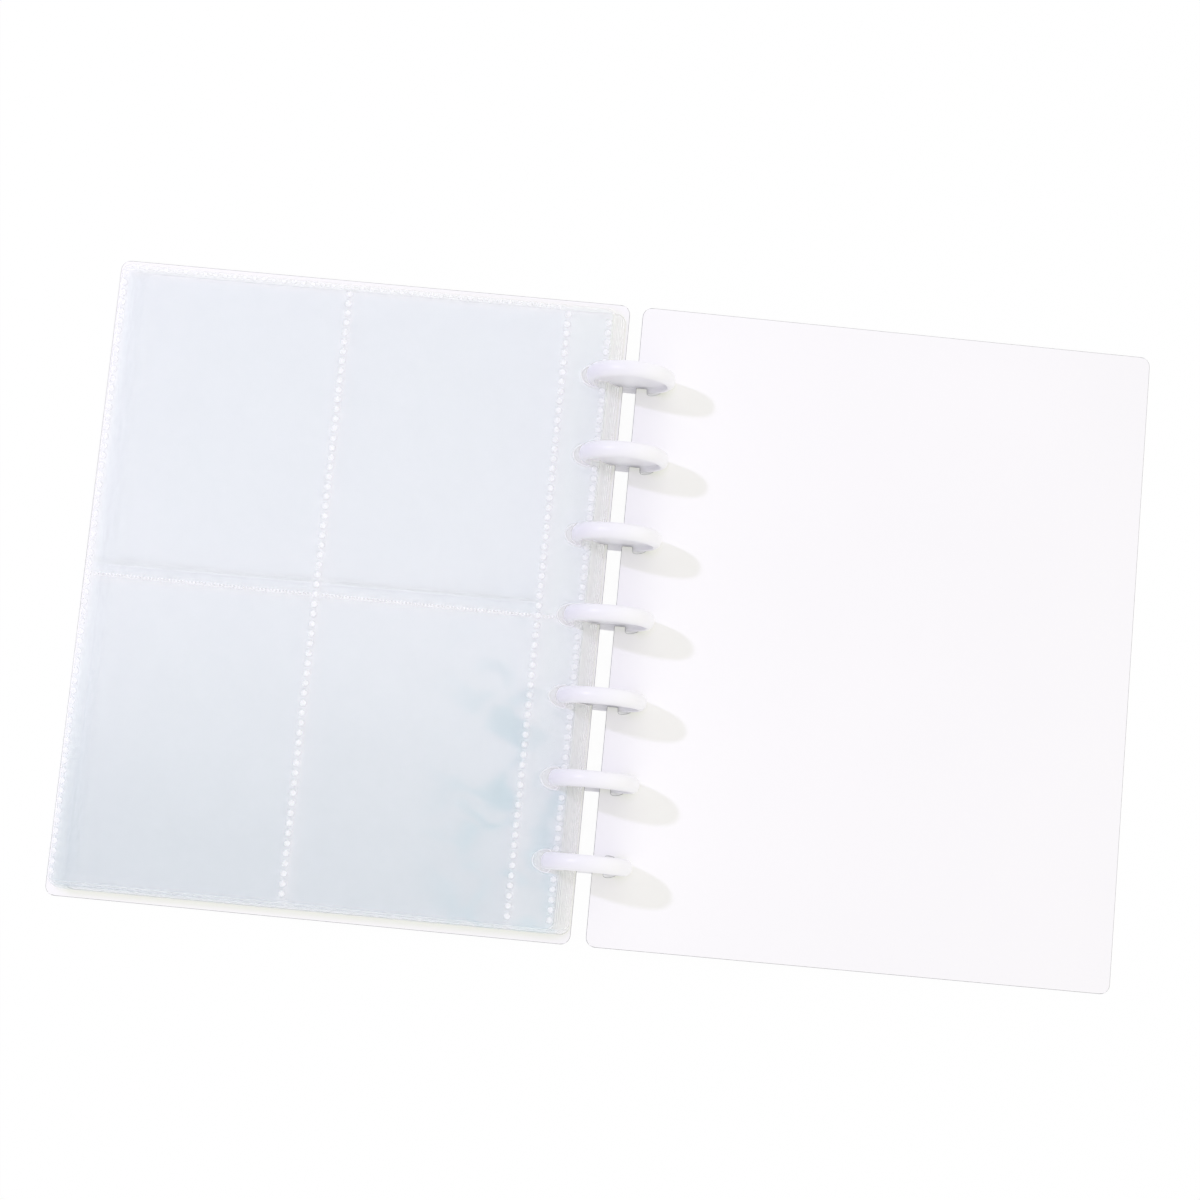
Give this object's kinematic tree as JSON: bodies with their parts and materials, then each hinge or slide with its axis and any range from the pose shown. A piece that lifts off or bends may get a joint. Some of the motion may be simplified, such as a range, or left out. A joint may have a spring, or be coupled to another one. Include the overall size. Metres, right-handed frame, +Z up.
{
  "type": "mini photo album",
  "caption": "Disc-bound photo album lying open: clear welded pocket leaves and plain white covers, held by loose plastic discs in mushroom notches.",
  "frame": {"origin": "on the table, under the spine, midway along it", "axes": "+X from the leaves to the open front cover, +Y along the discs to the head, +Z up"},
  "size_m": [0.3306, 0.2024, 0.028],
  "materials": {
    "cover_plastic": "satin white sheet",
    "disc_plastic": "smooth white moulding",
    "clear_film": "clear glossy film"
  },
  "bodies": {
    "back_cover": {"back_cover": "cover_plastic"},
    "front_cover": {"front_cover": "cover_plastic"},
    "leaf_01": {"leaf_01_back_film": "clear_film", "leaf_01_pocket_film": "clear_film"},
    "leaf_02": {"leaf_02_back_film": "clear_film", "leaf_02_pocket_film": "clear_film"},
    "leaf_03": {"leaf_03_back_film": "clear_film", "leaf_03_pocket_film": "clear_film"},
    "leaf_04": {"leaf_04_back_film": "clear_film", "leaf_04_pocket_film": "clear_film"},
    "leaf_05": {"leaf_05_back_film": "clear_film", "leaf_05_pocket_film": "clear_film"},
    "leaf_06": {"leaf_06_back_film": "clear_film", "leaf_06_pocket_film": "clear_film"},
    "leaf_07": {"leaf_07_back_film": "clear_film", "leaf_07_pocket_film": "clear_film"},
    "leaf_08": {"leaf_08_back_film": "clear_film", "leaf_08_pocket_film": "clear_film"},
    "leaf_09": {"leaf_09_back_film": "clear_film", "leaf_09_pocket_film": "clear_film"},
    "leaf_10": {"leaf_10_back_film": "clear_film", "leaf_10_pocket_film": "clear_film"},
    "disc_1": {"disc_1": "disc_plastic"},
    "disc_2": {"disc_2": "disc_plastic"},
    "disc_3": {"disc_3": "disc_plastic"},
    "disc_4": {"disc_4": "disc_plastic"},
    "disc_5": {"disc_5": "disc_plastic"},
    "disc_6": {"disc_6": "disc_plastic"},
    "disc_7": {"disc_7": "disc_plastic"}
  },
  "joints": [
    {"name": "front_cover_turn", "type": "hinge", "parent": "back_cover", "child": "front_cover", "pos_m": [0, 0, 0.014], "axis": [0, -1, 0], "range_deg": [0, 186.5]},
    {"name": "leaf_10_turn", "type": "hinge", "parent": "back_cover", "child": "leaf_10", "pos_m": [0, 0, 0.014], "axis": [0, 1, 0], "range_deg": [0, 178]},
    {"name": "leaf_09_turn", "type": "hinge", "parent": "back_cover", "child": "leaf_09", "pos_m": [0, 0, 0.014], "axis": [0, 1, 0], "range_deg": [0, 175]},
    {"name": "leaf_08_turn", "type": "hinge", "parent": "back_cover", "child": "leaf_08", "pos_m": [0, 0, 0.014], "axis": [0, 1, 0], "range_deg": [0, 171]},
    {"name": "leaf_07_turn", "type": "hinge", "parent": "back_cover", "child": "leaf_07", "pos_m": [0, 0, 0.014], "axis": [0, 1, 0], "range_deg": [0, 167]},
    {"name": "leaf_06_turn", "type": "hinge", "parent": "back_cover", "child": "leaf_06", "pos_m": [0, 0, 0.014], "axis": [0, 1, 0], "range_deg": [0, 163]},
    {"name": "leaf_05_turn", "type": "hinge", "parent": "back_cover", "child": "leaf_05", "pos_m": [0, 0, 0.014], "axis": [0, 1, 0], "range_deg": [0, 160]},
    {"name": "leaf_04_turn", "type": "hinge", "parent": "back_cover", "child": "leaf_04", "pos_m": [0, 0, 0.014], "axis": [0, 1, 0], "range_deg": [0, 156]},
    {"name": "leaf_03_turn", "type": "hinge", "parent": "back_cover", "child": "leaf_03", "pos_m": [0, 0, 0.014], "axis": [0, 1, 0], "range_deg": [0, 152]},
    {"name": "leaf_02_turn", "type": "hinge", "parent": "back_cover", "child": "leaf_02", "pos_m": [0, 0, 0.014], "axis": [0, 1, 0], "range_deg": [0, 148]},
    {"name": "leaf_01_turn", "type": "hinge", "parent": "back_cover", "child": "leaf_01", "pos_m": [0, 0, 0.014], "axis": [0, 1, 0], "range_deg": [0, 145]},
    {"name": "disc_1_spin", "type": "hinge", "parent": "back_cover", "child": "disc_1", "pos_m": [0, 0.0762, 0.014], "axis": [0, 1, 0], "continuous": true},
    {"name": "disc_2_spin", "type": "hinge", "parent": "back_cover", "child": "disc_2", "pos_m": [0, 0.0508, 0.014], "axis": [0, 1, 0], "continuous": true},
    {"name": "disc_3_spin", "type": "hinge", "parent": "back_cover", "child": "disc_3", "pos_m": [0, 0.0254, 0.014], "axis": [0, 1, 0], "continuous": true},
    {"name": "disc_4_spin", "type": "hinge", "parent": "back_cover", "child": "disc_4", "pos_m": [0, 0, 0.014], "axis": [0, 1, 0], "continuous": true},
    {"name": "disc_5_spin", "type": "hinge", "parent": "back_cover", "child": "disc_5", "pos_m": [0, -0.0254, 0.014], "axis": [0, 1, 0], "continuous": true},
    {"name": "disc_6_spin", "type": "hinge", "parent": "back_cover", "child": "disc_6", "pos_m": [0, -0.0508, 0.014], "axis": [0, 1, 0], "continuous": true},
    {"name": "disc_7_spin", "type": "hinge", "parent": "back_cover", "child": "disc_7", "pos_m": [0, -0.0762, 0.014], "axis": [0, 1, 0], "continuous": true}
  ],
  "couplings": [
    {"joint": "leaf_09_turn", "follows": "leaf_10_turn", "ratio": 0.9788},
    {"joint": "leaf_08_turn", "follows": "leaf_10_turn", "ratio": 0.9576},
    {"joint": "leaf_07_turn", "follows": "leaf_10_turn", "ratio": 0.9363},
    {"joint": "leaf_06_turn", "follows": "leaf_10_turn", "ratio": 0.9151},
    {"joint": "leaf_05_turn", "follows": "leaf_10_turn", "ratio": 0.8939},
    {"joint": "leaf_04_turn", "follows": "leaf_10_turn", "ratio": 0.8727},
    {"joint": "leaf_03_turn", "follows": "leaf_10_turn", "ratio": 0.8514},
    {"joint": "leaf_02_turn", "follows": "leaf_10_turn", "ratio": 0.8302},
    {"joint": "leaf_01_turn", "follows": "leaf_10_turn", "ratio": 0.809}
  ]
}
